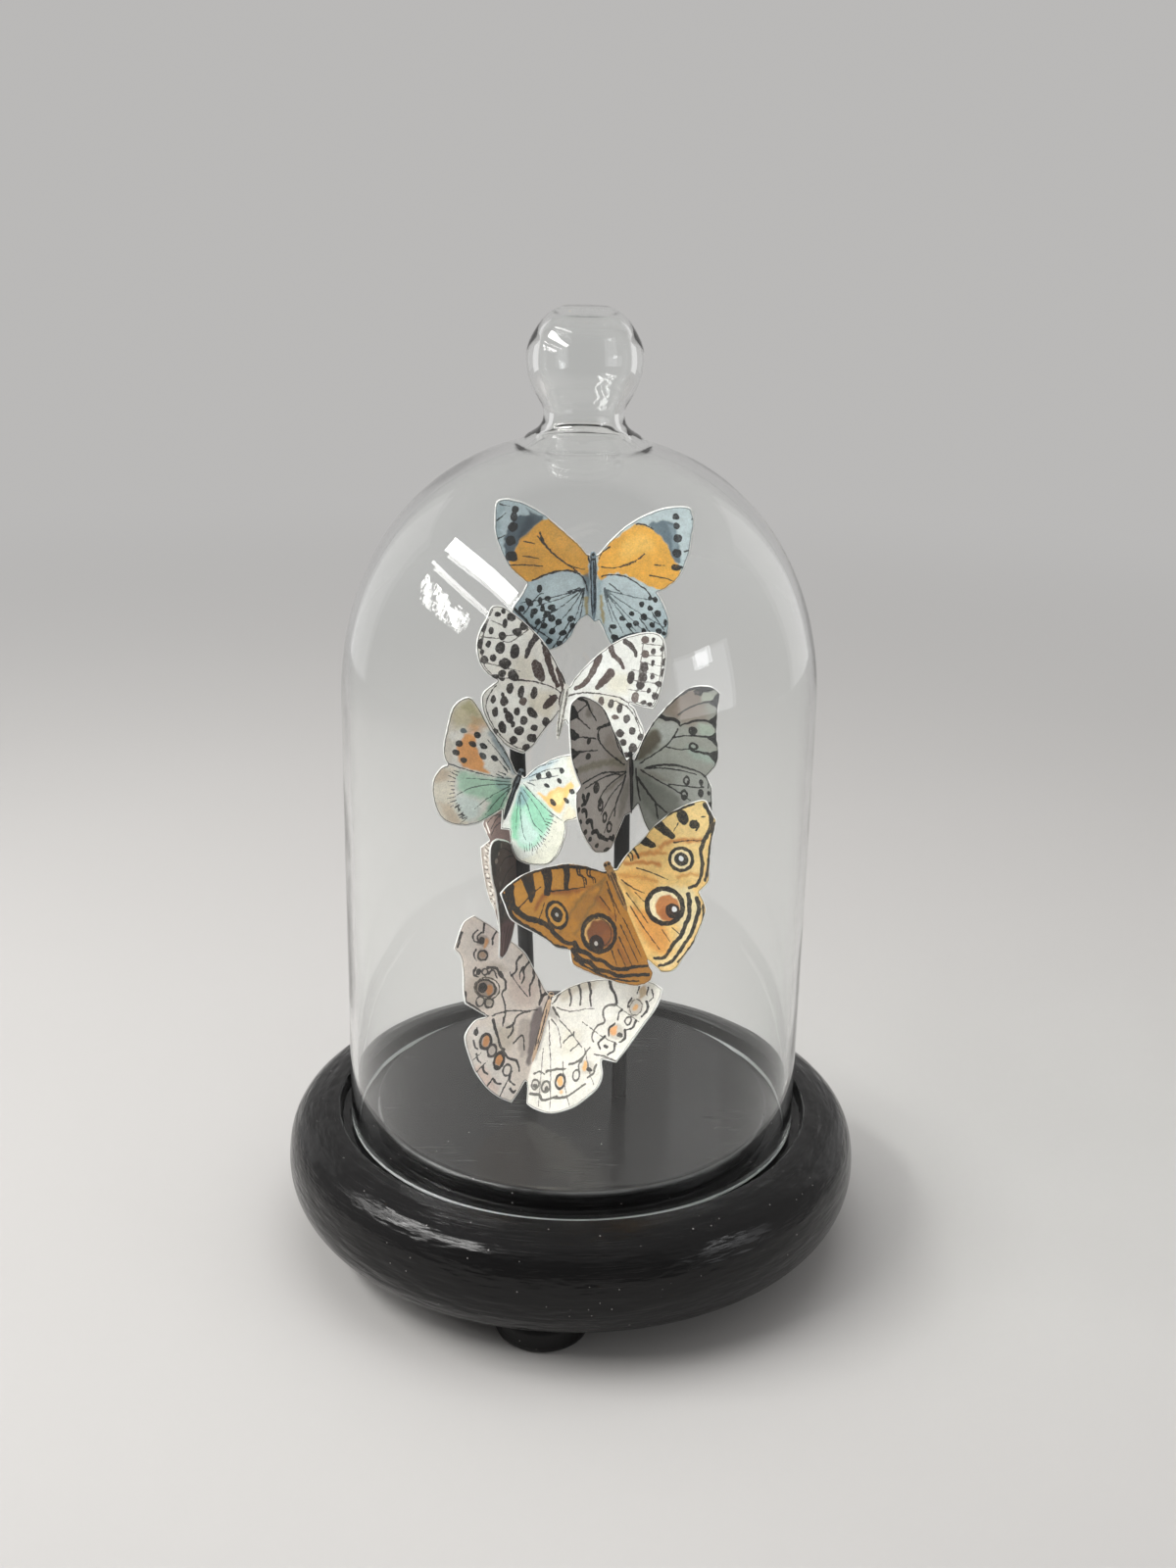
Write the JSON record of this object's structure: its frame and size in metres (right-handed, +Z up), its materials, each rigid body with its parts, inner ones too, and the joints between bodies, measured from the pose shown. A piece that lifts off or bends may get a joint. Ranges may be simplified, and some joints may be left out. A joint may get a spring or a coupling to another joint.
{
  "type": "butterfly display dome",
  "caption": "Blown-glass dome with a ball knob over folded paper butterflies on slim black sticks, standing on a turned black wooden base with short round feet",
  "frame": {"origin": "The middle of the base's footprint, on the surface that the feet stand on", "axes": "+Z up along the dome, the butterflies' open side looks along -Y, +X to the viewer's right"},
  "size_m": [0.164, 0.164, 0.262],
  "materials": {
    "black_wood": "hand-brushed black satin paint",
    "clear_glass": "clear, polished",
    "black_stick": "black matt paint",
    "paper_orange_blue": "printed paper, orange and pale blue wings",
    "paper_speckled": "printed paper, off-white wings with dark spots",
    "paper_mint": "printed paper, mint green and tan wings",
    "paper_grey": "printed paper, grey wings",
    "paper_gold": "printed paper, golden wings with eyespots",
    "paper_brown": "printed paper, dark brown wings with pale spots",
    "paper_pale": "printed paper, pale brown and warm white wings"
  },
  "bodies": {
    "root": {"base": "black_wood", "foot_1": "black_wood", "foot_2": "black_wood", "foot_3": "black_wood", "glass_dome": "clear_glass", "post_left": "black_stick", "post_right": "black_stick", "butterfly_orange_tip": "paper_orange_blue", "butterfly_speckled": "paper_speckled", "butterfly_mint": "paper_mint", "butterfly_grey": "paper_grey", "butterfly_eyespot": "paper_gold", "butterfly_brown": "paper_brown", "butterfly_pale": "paper_pale"}
  },
  "joints": []
}
